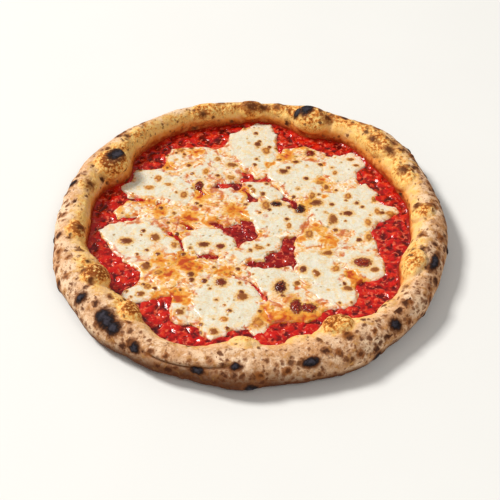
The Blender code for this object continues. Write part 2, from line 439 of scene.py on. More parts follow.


# %% [markdown]
# ## Spots, blisters and gold
# A hot stone oven leaves three marks on the rim: black blisters where a bubble stood
# up into the flame, brown freckles, and a golden bloom on the slopes that face the
# oven's dome. The marks that give this pizza its face are listed, in degrees round
# the pizza and degrees over the rim. The small ones are left to the seeds.

# %% Marks on the rim
# Degrees round, degrees over, half length and half width in millimetres.
BLACK_BLISTERS = [
    (229.2, 127, 6.4, 6.8), (226.8, 123.5, 6.2, 6.8), (224.4, 120.5, 6.8, 7),
    (214, 129, 4.6, 5.2),
    (147, 73, 8.4, 5.2), (70, 82, 5.4, 6), (73, 66, 3.6, 4.6),
    (313.6, 134, 4.8, 5.6), (340.5, 123, 8.6, 3.8), (286, 134, 7, 3.6),
    (266, 128, 5, 3.4), (237.5, 144, 4.6, 4.8), (256, 152, 6.4, 3),
    (164, 124, 3.4, 4.2), (22, 178, 6.5, 5.5), (185, 180, 3.2, 3.6), (62, 172, 5, 4.6),
    (350, 172, 3.4, 3.4), (11, 168, 3.4, 3.2), (33, 150, 4.4, 3), (126, 172, 3.6, 2.6),
    (118, 176, 3.2, 2.6), (173, 172, 2.6, 3), (96, 178, 5, 5), (270, 196, 6, 4.6),
    (305, 196, 5, 4.4), (140, 186, 5.5, 5), (82, 190, 3.6, 3.6), (45, 196, 5.6, 4),
    (8, 198, 5, 4.4), (326, 206, 4.2, 3.2), (203, 200, 4.6, 3.8), (156, 204, 4, 3.4),
]
BROWN_BLISTERS = [
    (163, 62, 5, 5), (185, 64, 5.2, 4.4), (198, 109, 2.4, 2.8), (204.4, 132, 2.4, 3),
    (205.6, 90, 3, 3), (194, 132, 3.4, 3), (5, 104, 4.6, 4.6), (351.5, 126, 3.6, 3.4),
    (107, 58, 4.2, 2.6), (90, 72, 9, 4), (85.5, 66, 6, 3.4), (62, 71, 6, 4),
    (42, 66, 6.2, 2.8), (34.4, 71, 7, 3.8), (24.5, 67, 4.6, 4), (36.5, 98, 4.6, 3.4),
    (5.6, 61, 4.4, 4.4),
    (351.5, 68, 3, 3.4), (328.6, 160, 3.4, 3.6), (344, 156, 3.2, 3.6),
    (279.4, 146, 3.4, 3.2), (272.4, 150, 2.6, 2.6), (299, 100, 3.8, 2.6),
    (242.5, 128, 3, 3.4), (247, 122, 2.6, 2.4), (211, 84, 3.6, 3), (220, 76, 3.4, 3),
    (232, 92, 3, 2.4), (80, 100, 4.4, 3), (100, 96, 3.6, 2.4), (128, 108, 3.2, 2.6),
    (136, 112, 3.4, 2.4), (300, 150, 3.6, 3.2), (294, 128, 2.4, 2.4), (307, 118, 2.6, 2.6),
    (318, 154, 2.8, 3), (331, 132, 2.8, 2.8), (322, 112, 2.2, 2.4), (45, 118, 3.4, 3),
    (54, 132, 3, 2.6), (29, 128, 3.2, 3), (17, 132, 3, 3), (178, 120, 2.6, 3),
    (191, 156, 3, 3.4), (199, 158, 2.6, 4), (172, 128, 2.2, 2.6), (259, 122, 2.6, 2.4),
]
# Degrees round, half width in degrees, degrees over, half width over, and strength.
GOLDEN_SLOPES = [
    (74, 12, 70, 44, 1.05), (93, 12, 66, 40, 1.05), (58, 12, 84, 34, 0.7),
    (112, 14, 50, 30, 0.9),
    (131, 10, 62, 30, 0.75), (147, 9, 66, 36, 1.1), (162, 8, 52, 30, 0.6),
    (182, 13, 62, 28, 0.8), (206, 9, 78, 24, 1), (225, 8, 62, 20, 0.9),
    (267, 8, 50, 20, 0.5),
    (300, 9, 62, 24, 0.95), (320, 10, 26, 18, 0.4), (343, 8, 60, 28, 0.9),
    (2, 9, 44, 26, 0.6), (26, 14, 62, 34, 0.8), (44, 12, 46, 34, 0.7), (52, 20, 104, 30, 0.65),
]
# Big bubbles of the inner face: degrees round, degrees over, half length round the
# rim, half width across it and height in millimetres, and how golden each baked.
BUBBLES = [
    (150, 66, 15, 14, 3.6, 1.35), (132, 55, 10, 9, 1.2, 0.8), (106, 56, 13, 11, 1.5, 0.9),
    (90, 55, 11, 11, 2.2, 1.1), (68, 60, 17, 14, 3.2, 1), (40, 60, 14, 12, 1.8, 1),
    (23, 52, 14, 12, 1.8, 0.9), (3, 66, 10, 11, 2.4, 0.9), (337.5, 66, 14, 11, 2.8, 0.9),
    (299, 68, 13, 11, 3, 1.15), (285.5, 50, 9, 7, 1.6, 0.45), (268, 60, 12, 8, 2.4, 0.6),
    (228.7, 60, 10, 10, 2.6, 1.3), (208, 60, 12, 13, 3.4, 1.35), (185, 62, 10, 10, 2.4, 1.2),
    (164, 68, 7, 7, 1.2, 0.6), (318, 50, 9, 8, 1.2, 0.3),
]
# Where freckles crowd, in the same five numbers.
FRECKLED = [
    (305, 26, 135, 45, 1), (20, 34, 150, 45, 0.8), (345, 22, 150, 40, 0.7),
    (268, 22, 160, 40, 0.7), (205, 24, 120, 50, 0.4), (135, 26, 105, 50, 0.6),
    (233, 18, 160, 30, 0.3), (85, 30, 85, 40, 0.5), (180, 60, 190, 40, 0.6),
    (60, 70, 190, 40, 0.6), (50, 26, 112, 34, 1), (2, 30, 120, 40, 0.6),
]


# %% Fields from the marks
def from_mark(points, around, over, length, width):
    """How far points are from a place on the rim, as 1 at the edge of an oval: the
    distance along the rim in half lengths and across it in half widths."""
    turn = math.radians(around)
    away = points - rim_point(np.array(turn), np.array(math.radians(over)))
    side = away @ np.array([-math.sin(turn), math.cos(turn), 0.0])
    rest = np.sqrt(np.maximum((away**2).sum(-1) - side**2, 0.0))
    return np.hypot(side / length, rest / width)


def spot_field(points, marks):
    """For each point, 1 at the middle of the nearest mark, 0 at its edge and below 0
    outside. The points drift first, so that no mark is a true oval."""
    best = np.full(points.shape[:-1], -2.0)
    points = points + (drift(points, 5.0, 17, 1.1) + drift(points, 2.4, 27, 0.5))
    for mark in marks:
        best = np.maximum(best, 1.0 - from_mark(points, *mark))
    return best


def bubble_field(points, bubbles):
    """Two fields: how far the big bubbles push the skin out, as a dome less a crease
    round its foot, and how golden they are, falling to 0 outside the foot."""
    push = np.zeros(points.shape[:-1])
    gilt = np.zeros(points.shape[:-1])
    points = points + drift(points, 9.0, 37, 1.6)
    for around, over, length, width, height, golden in bubbles:
        away = from_mark(points, around, over, length, width)
        crease = 0.30 * np.exp(-(((away - 1.10) / 0.17) ** 2))
        push = push + 1.25 * height * (round_top(away) ** 0.7 - crease)
        gilt = np.maximum(gilt, golden * ease(1.0 - away, -0.55, 0.65))
    return push, gilt


def zone_field(turns, over, zones):
    """The sum of bell curves in degrees round and degrees over, capped at 1.1."""
    around, tilt = np.degrees(turns), np.degrees(over)
    total = np.zeros(np.broadcast(around, tilt).shape)
    for middle, wide, level_over, tall, strength in zones:
        away = (around - middle + 180.0) % 360.0 - 180.0
        fall = -((away / wide) ** 2) - ((tilt - level_over) / tall) ** 2
        total = total + strength * np.exp(fall)
    return np.minimum(total, 1.1)


# %% [markdown]
# ## Crust
# The rim is a grid: columns round the pizza, rows over the rim from the inner foot to
# the table. The bare shape takes swells of 27, 12 and 5.5 mm along its normals, the
# big bubbles of the inner face, a bump under each blister and small bubbles from the
# seeds. Under the toppings the bed is flat, and so is the underside, which rests on
# the table.

# %% Shape of the rim
AROUND = 880
SWELLS = ((0.95, 27.0, 11), (0.75, 12.0, 12), (0.34, 5.5, 13))  # height, size and salt
over_rows = np.radians(
    np.concatenate([np.linspace(0, 90, 35)[:-1], np.linspace(90, 180, 28)[:-1],
                    np.linspace(180, 270, 23)])
)
turns = np.linspace(0.0, math.tau, AROUND, endpoint=False)[None, :]
over = np.broadcast_to(over_rows[:, None], (len(over_rows), AROUND))
tilt = np.degrees(over)
wall = rim_point(np.broadcast_to(turns, over.shape), over)
black = spot_field(wall, BLACK_BLISTERS)
brown = spot_field(wall, BROWN_BLISTERS)
# The skin is free to move except at its two ends, where it meets the flat parts.
free = ease(tilt, 3.0, 16.0) * (1.0 - ease(tilt, 235.0, 262.0))
lump = sum(high * swirl(wall, size, salt) for high, size, salt in SWELLS)
near, own = seeds(wall, 9.0, 21)
bubble = np.where(own > 0.62, round_top(near / 0.34), 0.0)
wrinkle = 1.0 - np.abs(swirl(wall, 3.4, 14))
inner_face = 1.0 - ease(tilt, 70.0, 120.0)
pushed, on_bubble = bubble_field(wall, BUBBLES)
inner_side = 1.0 - ease(tilt, 95.0, 135.0)
rise = lump + pushed * inner_side + 0.55 * bubble + 0.45 * wrinkle * inner_face
rise = rise + 0.16 * swirl(wall, 2.6, 15)
rise = rise + 0.9 * ease(black, -0.2, 0.8) + 0.35 * ease(brown, -0.2, 0.8)
# A long fold on the front left, where two lips of dough met.
fold_turn = np.degrees(turns) % 360.0
fold_off = tilt - (146.0 - 0.085 * (fold_turn - 250.0) ** 2)
fold_here = ease(fold_turn, 238.0, 243.0) * (1.0 - ease(fold_turn, 263.0, 270.0))
fold = fold_here * np.exp(-((fold_off / 4.5) ** 2))
rise = rise - 1.3 * fold + 0.6 * fold_here * np.exp(-(((fold_off + 11.0) / 8.0) ** 2))
wall = wall + (outward(wall) * (free * rise)[..., None])
print("the skin moves by", rise.min(), "to", rise.max(), "mm")


# %% Keep the rim inside the box of the solids
def held_in(value, low, high, slack=1.2):
    """Keeps a coordinate between two limits: untouched until it comes within the
    slack of one, then easing towards it as the hyperbolic tangent does."""
    past = value - (high - slack)
    value = np.where(past > 0.0, high - slack + slack * np.tanh(past / slack), value)
    past = (low + slack) - value
    return np.where(past > 0.0, low + slack - slack * np.tanh(past / slack), value)


MARGIN = 0.05  # millimetres kept between the skin and the box of the solids
low_corner = np.array(cad_low) / MM + MARGIN
high_corner = np.array(cad_high) / MM - MARGIN
for axis, lowest in ((0, low_corner[0]), (1, low_corner[1]), (2, -5.0)):
    wall[..., axis] = held_in(wall[..., axis], lowest, high_corner[axis])
wall[..., 2] = np.maximum(wall[..., 2], 0.0)
wall[-1, :, 2] = 0.0


# %% Close the crust
def spokes(ring, shares, height):
    """Rows between the axis and a ring of points, at shares of the way out."""
    rows = np.array(shares)[:, None, None] * (ring - [axis_x, axis_y, 0.0])
    rows = rows + [axis_x, axis_y, 0.0]
    rows[..., 2] = height
    return rows


skin = np.concatenate([
    spokes(wall[0], [0.0, 0.45, 0.97], bed), wall, spokes(wall[-1], [0.9, 0.45, 0.0], 0.0)
])
crust = closed_skin("crust_skin", skin)

# %% Paint the crust
# char and toast are the black and brown blisters. The foot of the inner wall holds sauce
# that crept up it, with painted shade and a painted warm glow where it meets the tomato;
# moist is the dough the sauce steamed, crown the higher part that dried and reddened,
# and low is painted shade on the outer wall from below, with some browning from the stone.
golden = zone_field(turns, over, GOLDEN_SLOPES)
golden = np.maximum(golden * 0.8, inner_side * on_bubble)
# The underside is paler again, with spots where it lay on the stone.
below = ease(tilt, 236.0, 266.0)
freckle = np.maximum(zone_field(turns, over, FRECKLED), 0.62 * below)
# Sauce stain up the foot of the inner wall, with painted shade and a painted warm glow where
# it meets the tomato.
foot_stain_and_shade = 1.0 - ease(tilt, 8.0, 50.0)
# Painted shade darkens the outer wall from below, most of all at the front, together
# with some browning from the stone.
low_shade_reach = 15.0 + 14.0 * np.exp(-(((fold_turn - 258.0) / 24.0) ** 2))
low_shade = 1.0 - ease(wall[..., 2] / low_shade_reach, 0.35, 1.0)
low_shade = low_shade * ease(tilt, 98.0, 140.0) * (1.0 - 0.9 * below)
# Painted shade along the crease of the fold.
fold_shade = 0.9 * fold_here * np.exp(-(((fold_off - 1.0) / 4.0) ** 2))
for name, values in (
    ("char", black), ("toast", brown), ("golden", golden), ("freckle", freckle),
    ("stain_and_shade", foot_stain_and_shade), ("moist", 1.0 - ease(tilt, 34.0, 88.0)),
    ("crown", ease(tilt, 38.0, 74.0)), ("low", np.maximum(low_shade, fold_shade)),
):
    paint(crust, name, np.pad(values, ((3, 3), (0, 0)), mode="edge"))

# %% [markdown]
# ## Finish of the crust
# Baked dough is matte. Its colour is built as the oven builds it: pale dough first,
# then tan mottling, gold on the slopes with painted highlights, freckles with a brown
# halo, and last the black blisters, whose middles carry a painted grey-blue sheen.
# Painted shade darkens the lower outer wall and the foot of the inner wall. A noise
# moves every edge, so no mark has a clean outline.

# %% Noises and masks of the crust
d = Finish("baked_dough")  # d for dough
broad = d.noise(24.0, 4.0, 0.6)
grain = d.noise(0.9, 3.0, 0.6)
mottle = d.noise(6.0, 4.0, 0.62, 0.4)
speckle = d.noise(2.4, 2.0, 0.6)
low_shade = d.painted("low")
low_shade_mottled = d.times(low_shade, d.stretch(mottle, 0.3, 0.6, 0.85, 1.0))
baked_more = d.times(d.painted("freckle"), d.stretch(mottle, 0.40, 0.62, 0.0, 0.55))
moist = d.times(d.painted("moist"), d.stretch(mottle, 0.25, 0.6, 0.45, 0.85))
rusty = d.times(d.painted("moist"), d.stretch(broad, 0.50, 0.62, 0.0, 0.7))
rusty = d.times(rusty, d.stretch(mottle, 0.40, 0.62))
gold = d.painted("golden")
gilded = d.frayed(gold, mottle, 1.5)
reddened = d.frayed(gilded, speckle, 2.2, 1.45)
reddened = d.sum("ADD", reddened, d.times(d.painted("crown"), 0.38))
cracks = d.stretch(d.veins(5.5, 3.0, 0.6, 0.8), 0.035, 0.005)
cracks = d.times(d.times(cracks, d.stretch(gilded, 0.4, 0.9)), 0.6)
# Painted highlights: bright flecks on the golden slopes.
painted_glint = d.times(d.stretch(speckle, 0.47, 0.33, 0.0, 0.7), d.stretch(gilded, 0.2, 0.7))
stain_and_shade_mask = d.frayed(d.painted("stain_and_shade"), mottle, 0.9)
toast = d.frayed(d.painted("toast"), speckle, 1.5)
soot = d.frayed(d.painted("char"), speckle, 0.8, 0.42)
sheen_blotches = d.frayed(soot, speckle, 0.8, 0.45)

# %% Freckles
# Spacing, salt, spread of their reach, and the slope and base of their crowding.
FRECKLES = [
    (3.2, 0.083, 0.38, 0.55, 0.22), (5.4, 0.031, 0.42, 0.62, 0.17),
    (9.0, 0.057, 0.34, 0.56, 0.20),
]
crowd = d.sum("SUBTRACT", d.painted("freckle"), d.times(gold, 0.45))
tiny, many, few = [
    d.marks(size, salt, 4.5, d.sum("MULTIPLY_ADD", crowd, slope, base), 0.10, spread,
            (speckle, 0.6), (-0.28, 0.26))
    for size, salt, spread, slope, base in FRECKLES
]
mark = d.sum("MAXIMUM", d.times(tiny, 0.65), d.sum("MAXIMUM", d.times(many, 0.8), few))

# %% Crust finish
tone = d.mix(d.stretch(broad, 0.36, 0.64), look(247, 212, 174), look(222, 170, 124))
tone = d.layers(
    tone,
    (mottle, 0.50, 0.66, 0.85, (180, 118, 72)),
    (speckle, 0.56, 0.74, 0.8, (146, 90, 52)),
    (speckle, 0.46, 0.26, 0.7, (253, 228, 200)),
    (grain, 0.50, 0.75, 0.5, (172, 120, 80)),
    # Painted shade on the lower outer wall, deepest at the front, with some browning from the
    # stone.
    (low_shade_mottled, (88, 38, 10)),
    (baked_more, (172, 112, 66)),
    (moist, (252, 194, 112)),
    (rusty, (226, 140, 58)),
    (gilded, 0.0, 0.8, 0.95, (255, 206, 116)),
    (reddened, 0.5, 1.1, 0.85, (224, 124, 38)),
    (cracks, (140, 70, 20)),
    (reddened, 0.92, 1.35, 0.85, (120, 52, 14)),
    (painted_glint, (255, 224, 146)),
    # The foot of the inner wall: orange sauce stain turning dark red at the bottom, with
    # painted shade and a painted warm glow.
    (stain_and_shade_mask, 0.1, 0.7, 0.75, (226, 130, 38)),
    (stain_and_shade_mask, 0.6, 1.05, 0.9, (172, 52, 12)),
    (mark, 0.0, 0.7, 0.85, (136, 80, 44)),
    (mark, 0.5, 1.0, 0.9, (66, 34, 22)),
    # A second, darker pass of the same painted shade, laid over the freckles.
    (d.times(low_shade, 0.55), (78, 32, 8)),
    (toast, -0.6, 0.25, 0.8, (158, 92, 42)),
    (toast, 0.1, 0.7, 0.85, (88, 44, 22)),
    (soot, -0.6, 0.0, 0.85, (128, 76, 40)),
    (soot, -0.25, 0.2, 0.8, (74, 38, 24)),
)
# The black blisters: near black, with a painted grey-blue sheen in blotches over their
# middles.
painted_sheen = d.mix(d.stretch(sheen_blotches, 0.1, 0.9), look(20, 14, 13), look(62, 58, 66))
tone = d.mix(d.stretch(soot, -0.12, 0.42), tone, painted_sheen)
dough_normal = d.relief(mottle, 0.9)
dough_normal = d.relief(speckle, 0.5, dough_normal)
dough_normal = d.relief(grain, 0.20, dough_normal)
baked = d.done(tone, d.stretch(gold, 0.0, 1.0, 0.78, 0.5), dough_normal)
d.shader.inputs["Specular IOR Level"].default_value = 0.08
finish_piece(crust, "baked_dough", baked, "crust")

# %% [markdown]
# ## Where the cheese lies
# The torn pieces of mozzarella melted where they were dropped, and a thin film joined
# those that lay close. Each pool's edge is measured from its solid. A field is then
# worked out for any point of the pizza: millimetres inside the cheese, or below zero
# where the tomato is bare.

# %% Measure the pools
POOL_NODES = sorted(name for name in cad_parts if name.startswith("mozzarella_"))


def pool_edge(node):
    """The middle of a pool and its edge as a closed row of points: of all its points,
    the furthest out in each direction from its highest point."""
    points = points_of(node)
    middle = points[np.argmax(points[:, 2])]
    away = points[:, :2] - middle[:2]
    reach = np.hypot(away[:, 0], away[:, 1])
    turn = np.round(np.arctan2(away[:, 1], away[:, 0]), 3)
    turn, which = np.unique(turn[reach > 0.5], return_inverse=True)
    furthest = np.zeros(len(turn))
    np.maximum.at(furthest, which, reach[reach > 0.5])
    keep = np.diff(turn, prepend=turn[-1] - math.tau) > 0.004
    turn, furthest = turn[keep], furthest[keep]
    edge = middle[:2] + furthest[:, None] * np.stack([np.cos(turn), np.sin(turn)], -1)
    return middle, edge


pools = [pool_edge(node) for node in POOL_NODES]
print("edge points", [len(edge) for _, edge in pools])


# %% Distance inside an edge
def inside_by(x, y, edge):
    """Millimetres inside a closed edge, or below zero outside: the distance to the
    nearest of its straight sides, with its sign from counting crossings."""
    ends = np.roll(edge, -1, axis=0)
    nearest = np.full(x.shape, 1e9)
    inside = np.zeros(x.shape, bool)
    for (ax, ay), (bx, by) in zip(edge, ends):
        ux, uy = bx - ax, by - ay
        share = np.clip(((x - ax) * ux + (y - ay) * uy) / (ux * ux + uy * uy), 0.0, 1.0)
        nearest = np.minimum(nearest, np.hypot(x - ax - share * ux, y - ay - share * uy))
        if ay != by:
            crosses = (ay > y) != (by > y)
            inside ^= crosses & (x < ax + (y - ay) / (by - ay) * ux)
    return np.where(inside, nearest, -nearest)


# %% Places left bare
# Bare tomato inside the cheese, as corners in millimetres from the middle.
BARE_PATCHES = [
    [(-21, 7), (-18, 11), (-9, 13), (-8, 18), (-1, 18), (3, 15), (6, 2), (4, -3),
     (-2, -7), (-8, -13), (-13, -11), (-14, -3)],
    [(12, -23), (16, -18), (24, -16), (26, -5), (26, -2), (37, -2), (34, -11),
     (35, -30), (34, -40), (31, -34), (22, -35), (16, -38), (8, -38), (1, -37),
     (-4, -31), (2, -28), (11, -27)],
    [(-8, 77), (0, 76), (3, 69), (8, 68), (17, 73), (19, 66), (11, 61), (3, 63), (-7, 64)],
    [(-34, 57), (-30, 62), (-21, 64), (-8, 63), (-9, 56), (-14, 52), (-20, 56)],
    [(-6, 54), (0, 52), (5, 46), (6, 40), (1, 36), (-3, 42), (-6, 49)],
    [(-60, 22), (-55, 28), (-46, 32), (-45, 26), (-52, 22)],
    [(-57, 16), (-50, 12), (-46, 7), (-50, 6), (-56, 11)],
    [(-67, 5), (-60, 4), (-54, -4), (-50, -10), (-49, -18), (-56, -18), (-60, -8)],
    [(-43, -20), (-26, -21), (-24, -28), (-33, -26), (-36, -35), (-41, -30)],
    [(-38, 19), (-34, 20), (-24, 13), (-21, 8), (-27, 9)],
    [(16, 63), (20, 60), (24, 52), (30, 44), (36, 41), (37, 30), (33, 32), (32, 39),
     (26, 43), (21, 50)],
    [(-15, -42), (-5, -48), (5, -55), (13, -62), (14, -72), (10, -70), (4, -59), (-6, -52)],
]
# Bare notches and islands as ovals: x, y, half length, half width, turn in degrees.
BARE = [
    (80, -13, 4, 2.2, 30), (94, -12, 3.2, 4, 0), (48, -11, 4.2, 1.3, 30),
    (-71, 39, 6.5, 1.6, 8), (-72, 28, 3.6, 2.4, 40), (-96, 44, 9, 2.2, -5),
    (-40, 50, 5, 1.4, -50), (100, -5, 1.2, 9, 0), (-71, -43, 2, 1.4, 0),
    (105, 47, 13, 7, -20), (100, 66, 10, 9, 60), (-97, 20, 7, 1.8, 8),
    (-68, -82, 10, 14, 0), (-66, -72, 6, 5, 0), (24, 112, 3.5, 12, 10),
    (108, 2, 8, 16, 10), (-105, 45, 9, 3, -5), (-84, 88, 9, 7, 30),
    (-108, 12, 8, 6, 20),
]
# Film that ran over gaps too wide for the bridge, as corners.
RUN_OVER = [
    [(-32, 12), (-23, 9), (-18, 12), (-9, 14), (-8, 19), (-1, 19), (4, 17), (4, 24),
     (0, 34), (-12, 40), (-30, 32)],
]

# %% The pools joined by a film
BRIDGE = 12.0  # the melted film closes gaps up to twice this wide
RASTER_STEP = 2.0
RASTER = np.arange(-132.0, 153.0, RASTER_STEP)


def closed_over():
    """Millimetres inside the melted film, on a square raster over the pizza. The
    pools are swollen by the bridge width and shrunk back by it, which fills the gaps
    between them and leaves their outer edges where they were."""
    x, y = np.meshgrid(RASTER, RASTER)
    union = np.full(x.shape, -1e9)
    for _, edge in pools:
        union = np.maximum(union, inside_by(x, y, edge))
    just_out = (union < -BRIDGE) & (union > -BRIDGE - 3.0)
    bound_x, bound_y, beyond = x[just_out], y[just_out], -BRIDGE - union[just_out]
    depth = np.empty(x.shape)
    for row in range(len(RASTER)):
        away = np.hypot(x[row][:, None] - bound_x, y[row][:, None] - bound_y)
        depth[row] = (away - beyond).min(axis=1)
    return np.where(union < -BRIDGE, -BRIDGE, depth - BRIDGE)


closed_raster = closed_over()
print("film covers", int((closed_raster > 0.0).sum() * RASTER_STEP**2 / 100.0), "square cm")


def sampled(raster, x, y):
    """Values of a raster between its places, blended from the four nearest."""
    last = len(RASTER) - 1.001
    across = np.clip((x - RASTER[0]) / RASTER_STEP, 0.0, last)
    along_y = np.clip((y - RASTER[0]) / RASTER_STEP, 0.0, last)
    i, j = along_y.astype(int), across.astype(int)
    u, v = across - j, along_y - i
    low = raster[i, j] * (1.0 - u) + raster[i, j + 1] * u
    high = raster[i + 1, j] * (1.0 - u) + raster[i + 1, j + 1] * u
    return low * (1.0 - v) + high * v


# %% How far inside the cheese
def cover(x, y):
    """Millimetres inside the cheese: the closed field, cut by the bare places, with
    noise of 9 and 3.4 mm to make the edge ragged."""
    field = sampled(closed_raster, x, y)
    flat = flat_places(x, y)
    bent_x = x + 1.6 * swirl(flat, 6.0, 33)
    bent_y = y + 1.6 * swirl(flat, 6.0, 34)
    for corners in RUN_OVER:
        field = np.maximum(field, inside_by(bent_x, bent_y, np.array(corners, float)))
    for corners in BARE_PATCHES:
        field = np.minimum(field, -inside_by(bent_x, bent_y, np.array(corners, float)))
    for bare_x, bare_y, length, width, turned in BARE:
        turn = math.radians(turned)
        far_x, far_y = bent_x - bare_x, bent_y - bare_y
        along_it = far_x * math.cos(turn) + far_y * math.sin(turn)
        across_it = far_y * math.cos(turn) - far_x * math.sin(turn)
        away = np.hypot(along_it / length, across_it / width)
        field = np.minimum(field, (away - 1.0) * min(length, width))
    return field + 0.9 * swirl(flat, 9.0, 31) + 0.5 * swirl(flat, 3.4, 32)


# %% Discs and sheets
def disc(columns, rows, reach, crowd_out):
    """Places on a disc round the crust's axis: share of the way out, x and y. reach is
    the outer radius for each column, and crowd_out under 1 crowds rows to the edge."""
    turn = np.linspace(0.0, math.tau, columns, endpoint=False)
    share = np.linspace(0.0, 1.0, rows)[:, None] ** crowd_out
    radius = share * reach(turn)[None, :]
    return share, axis_x + radius * np.cos(turn), axis_y + radius * np.sin(turn)


def sheet(name, x, y, height, foot_height):
    """A closed skin from the heights on a disc: its edge drops to foot_height, where a
    flat underside closes it."""
    top = np.stack([x, y, height], -1)
    foot = top[-1:].copy()
    foot[..., 2] = foot_height
    under = foot.copy()
    under[..., :2] = axis_x, axis_y
    return closed_skin(name, np.concatenate([top, foot, under]))


# %% [markdown]
# ## Tomato
# Crushed tomato is pulp in juice: soft lumps of 3 to 7 mm that stand proud of a wet
# film. The lumps are domes round scattered seeds. Under the cheese the layer is calm
# and lower, since it doesn't show there.

# %% Build the tomato
SAUCE_LEVEL = 5.8
SAUCE_UNDER_CHEESE = 5.3
share, x, y = disc(720, 128, lambda t: along(inner_at, t) + 0.9, 0.9)
out = share * np.ones_like(x)
bare = ease(-cover(x, y), -1.6, 1.0)
flat = flat_places(x, y)
warped = flat + 2.6 * np.stack([swirl(flat, 6.0, 41), swirl(flat, 6.0, 42), flat[..., 2]], -1)
big, big_own = seeds(warped, 6.4, 43)
small, small_own = seeds(warped, 3.1, 47)
pulp = 1.5 * round_top(big / 0.66) * (0.2 + 0.8 * big_own)
pulp = pulp + 0.75 * round_top(small / 0.70) * (0.2 + 0.8 * small_own)
pulp = pulp + 0.55 * (1.0 - np.abs(swirl(warped, 4.4, 52))) ** 2
climb = 0.7 * ease(out, 0.97, 1.0)
level = SAUCE_UNDER_CHEESE + (SAUCE_LEVEL - SAUCE_UNDER_CHEESE) * bare
tomato = sheet("tomato_sauce", x, y, level + bare * pulp + climb, bed + 0.1)
from_middle = np.hypot(x - axis_x, y - axis_y) + 5.0 * swirl(flat, 16.0, 54)
for name, values in (
    ("pulp", pulp * bare), ("stewed", 1.0 - ease(from_middle, 40.0, 74.0)),
    ("wall", ease(out, 0.955, 1.0)),
):
    paint(tomato, name, np.pad(values, ((0, 2), (0, 0)), mode="edge"))

# %% Tomato finish
t = Finish("tomato_sauce")  # t for tomato
seedy = t.noise(6.0, 2.0, 0.5, 0.6)
fibre_and_glint = t.noise(3.0, 1.0, 0.5, 0.6)
lumpy = t.frayed(t.painted("pulp"), seedy, 2.4)
# Darker red where the pulp lies low: the deeper red of the juice, with painted shade in the
# gaps between the lumps.
tone = t.mix(t.stretch(lumpy, 0.0, 1.2), look(88, 2, 4), look(200, 20, 10))
tone = t.layers(
    tone,
    (seedy, 0.54, 0.70, 0.7, (226, 66, 26)),
    (t.painted("stewed"), 0.0, 1.0, 0.6, (124, 2, 8)),
    # Pale pink flecks: tomato fibres and painted highlights.
    (fibre_and_glint, 0.57, 0.68, 0.65, (238, 116, 82)),
    # Painted shade: the tomato turns a darker, browner red against the foot of the wall.
    (t.painted("wall"), 0.3, 1.0, 0.8, (160, 26, 4)),
)
wet = t.relief(seedy, 0.8)
wet = t.relief(fibre_and_glint, 0.18, wet)
sauce = t.done(tone, 0.19, wet)
t.shader.inputs["Specular IOR Level"].default_value = 0.5
finish_piece(tomato, "tomato_sauce", sauce, "sauce")

# %% [markdown]
# ## Blisters of the cheese
# Steam lifts small bubbles in melting mozzarella, and their thin tops brown first.
# The palest are tan spots with a darker ring, the next have a brown middle, and a few
# burn nearly black. The larger ones are listed in millimetres from the middle,
# with a half width and a darkness, and the smallest are placed by the seeds.

# %% Where blisters, thin cheese and oil lie
BLISTERS = [
    (40, 30, 5.4, 1), (20.5, 36, 4.6, 1), (12, 34, 4.4, 0.45), (53, 38, 5, 0.6),
    (86, -31, 6.6, 0.78), (22, -57, 6.2, 0.95), (33.6, -77.4, 6.6, 0.86),
    (43, -78.6, 6.2, 0.86), (-23, -52, 4.8, 0.7),
    (50, 100, 4.4, 0.8), (-43, 59, 4.6, 0.9), (95, -39, 3, 0.5), (-98, -7, 4.8, 0.55),
    (-76, -3, 4.2, 0.5), (-7, -67, 4.2, 0.5), (27, 76, 3.6, 0.6), (38, 88, 2.8, 0.6),
    (6, 112, 3.2, 0.6), (13, 103, 4.2, 0.45), (-16, 85, 4, 0.5), (-17, 69, 3, 0.4),
    (-77, 67, 3.2, 0.4), (-84, 56, 3, 0.3), (-55, 47, 3.4, 0.45), (-53, -83, 3.6, 0.5),
    (-27, -102, 3.6, 0.5), (5, -93, 5.2, 0.35), (66, 18, 4.4, 0.5), (78, 25, 3.8, 0.6),
    (102, 27, 3.2, 0.4), (112, 24, 3.6, 0.35), (94, 14, 3.6, 0.35), (93, -3, 3.6, 0.45),
    (46, 1, 4.2, 0.45), (57, 62, 2.8, 0.4), (62, 57, 3, 0.5), (79, 45, 3.2, 0.45),
    (50, 46, 3.2, 0.45), (-37, -11, 3.8, 0.6), (-24, -13, 3.6, 0.7), (-81, -35, 3.8, 0.5),
    (-71, -42, 3, 0.45), (-83, -64, 3.2, 0.5), (-78, -56, 3.2, 0.45), (6, -15, 3, 0.4),
    (40, -39, 3.4, 0.6), (65, -38, 3.4, 0.4), (50, -43, 3.4, 0.5), (35, -53, 2.6, 0.5),
    (73, -59, 3.2, 0.5), (-60, 104, 3.4, 0.45), (-38, 76, 2.6, 0.35), (-28, 92, 2.8, 0.4),
    (24, 92, 2.4, 0.5), (70, 74, 2.4, 0.4), (84, 92, 2.6, 0.5), (88, 84, 2.2, 0.5),
    (-60, -12, 3, 0.45), (-46, -44, 3.2, 0.55), (-20, -90, 2.6, 0.35), (60, -20, 3.4, 0.5),
    (30, 10, 2.6, 0.4), (100, 42, 2.4, 0.4), (-68, 60, 2.2, 0.35), (2, 52, 2.6, 0.45),
]
SMALL_BLISTER_STEP = 8.5   # millimetres between the seeds of the small blisters
SMALL_BLISTER_FROM = 0.4   # seeds whose own number is over this have one
